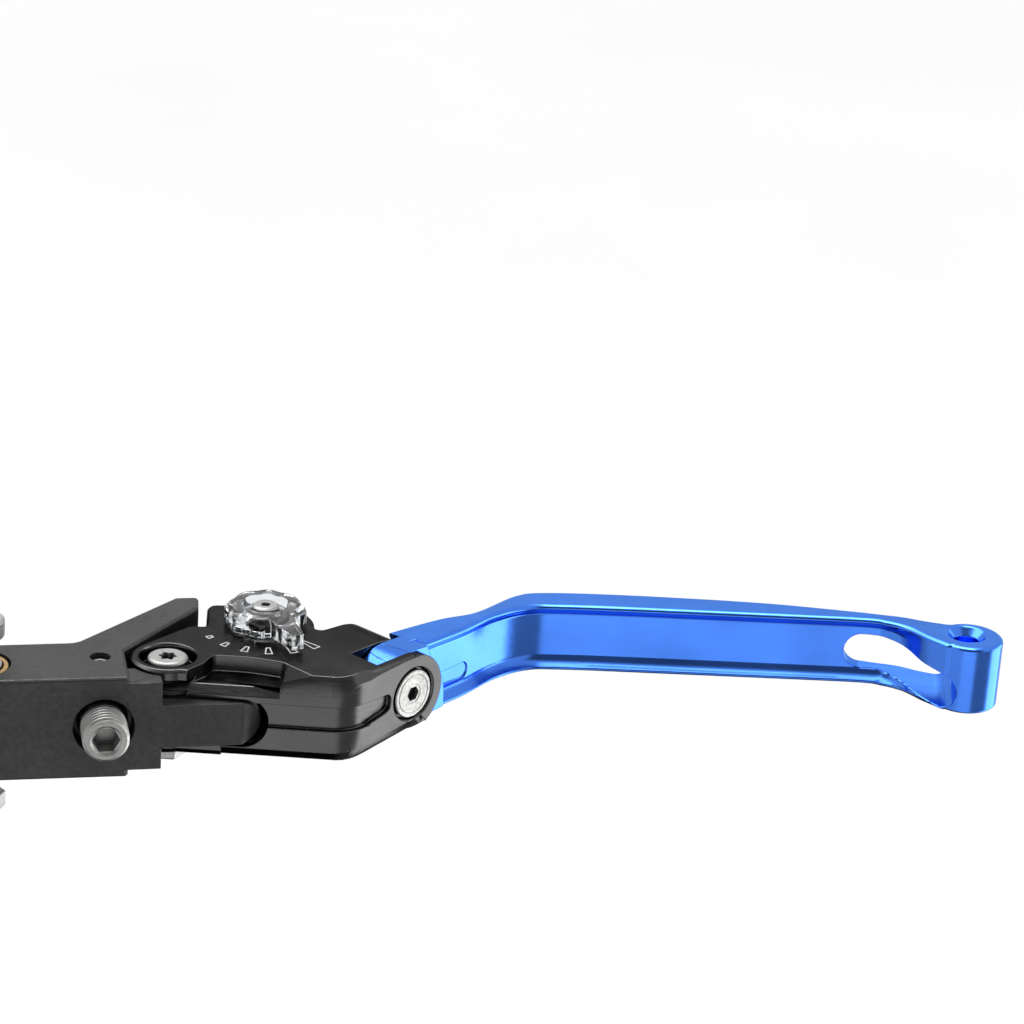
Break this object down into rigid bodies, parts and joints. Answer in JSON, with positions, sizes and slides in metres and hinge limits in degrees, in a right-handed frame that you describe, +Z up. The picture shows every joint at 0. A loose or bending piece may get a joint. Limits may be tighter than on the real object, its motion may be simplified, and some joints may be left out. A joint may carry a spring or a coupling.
{
  "type": "clutch lever",
  "caption": "Folding, reach-adjustable motorcycle clutch lever: dark adapter block, black link with click dial, blue folding blade.",
  "frame": {"origin": "on the perch pivot axis, at the flat lower end of the pivot bolt", "axes": "+X along the lever to its tip, +Y towards the handlebar grip, +Z up along the pivot axes"},
  "size_m": [0.2312, 0.0765, 0.0454],
  "materials": {
    "dark_grey_anodised": "matte dark grey anodised aluminium",
    "black_anodised": "satin black anodised aluminium",
    "blue_anodised": "bright blue anodised aluminium",
    "zinc_steel": "zinc plated steel",
    "bronze": "sintered bronze",
    "black_polymer": "matte moulded",
    "clear_polycarbonate": "clear moulded plastic"
  },
  "bodies": {
    "perch_pivot": {"perch_pivot_sleeve": "zinc_steel", "perch_pivot_bolt": "zinc_steel", "perch_pivot_nut": "zinc_steel"},
    "adapter": {"adapter_block": "dark_grey_anodised", "perch_pivot_bush": "bronze", "reach_pivot_sleeve": "zinc_steel", "reach_washer_upper": "black_polymer", "reach_washer_lower": "black_polymer", "piston_lock_screw": "zinc_steel", "reach_return_spring": "zinc_steel"},
    "piston_screw": {"piston_adjuster_screw": "zinc_steel"},
    "lever_link": {"lever_body": "black_anodised", "reach_pivot_screw": "zinc_steel", "reach_pivot_nut": "zinc_steel", "fold_pivot_screw": "zinc_steel", "fold_pivot_nut": "zinc_steel", "dial_detent_ball": "zinc_steel", "dial_detent_spring": "zinc_steel", "dial_seal_ring": "black_polymer"},
    "dial": {"dial_knob": "clear_polycarbonate", "dial_cam_shaft": "zinc_steel", "dial_screw": "zinc_steel"},
    "folding_blade": {"blade": "blue_anodised", "fold_sleeve": "zinc_steel", "fold_washer_front": "black_polymer", "fold_washer_back": "black_polymer", "fold_return_spring": "zinc_steel"}
  },
  "joints": [
    {"name": "lever_pull", "type": "hinge", "parent": "perch_pivot", "child": "adapter", "pos_m": [0, 0, 0.0246], "axis": [0, 0, 1], "range_deg": [0, 18]},
    {"name": "piston_adjust", "type": "slide", "parent": "adapter", "child": "piston_screw", "axis": [-0.2181, 0.9759, 0], "range_m": [-0.0015, 0.0015]},
    {"name": "reach_adjust", "type": "hinge", "parent": "adapter", "child": "lever_link", "pos_m": [0.03856, 0.01087, 0.0246], "axis": [0, 0, 1], "range_deg": [-5.6, 1.4]},
    {"name": "dial_turn", "type": "hinge", "parent": "lever_link", "child": "dial", "pos_m": [0.05746, 0.03027, 0.0246], "axis": [0, 0, 1], "range_deg": [-80.4, 20.1]},
    {"name": "blade_fold", "type": "hinge", "parent": "lever_link", "child": "folding_blade", "pos_m": [0.08611, 0.02266, 0.0256], "axis": [0.766, -0.6428, 0], "range_deg": [0, 60]}
  ],
  "couplings": [
    {"joint": "dial_turn", "follows": "reach_adjust", "ratio": 14.357}
  ]
}
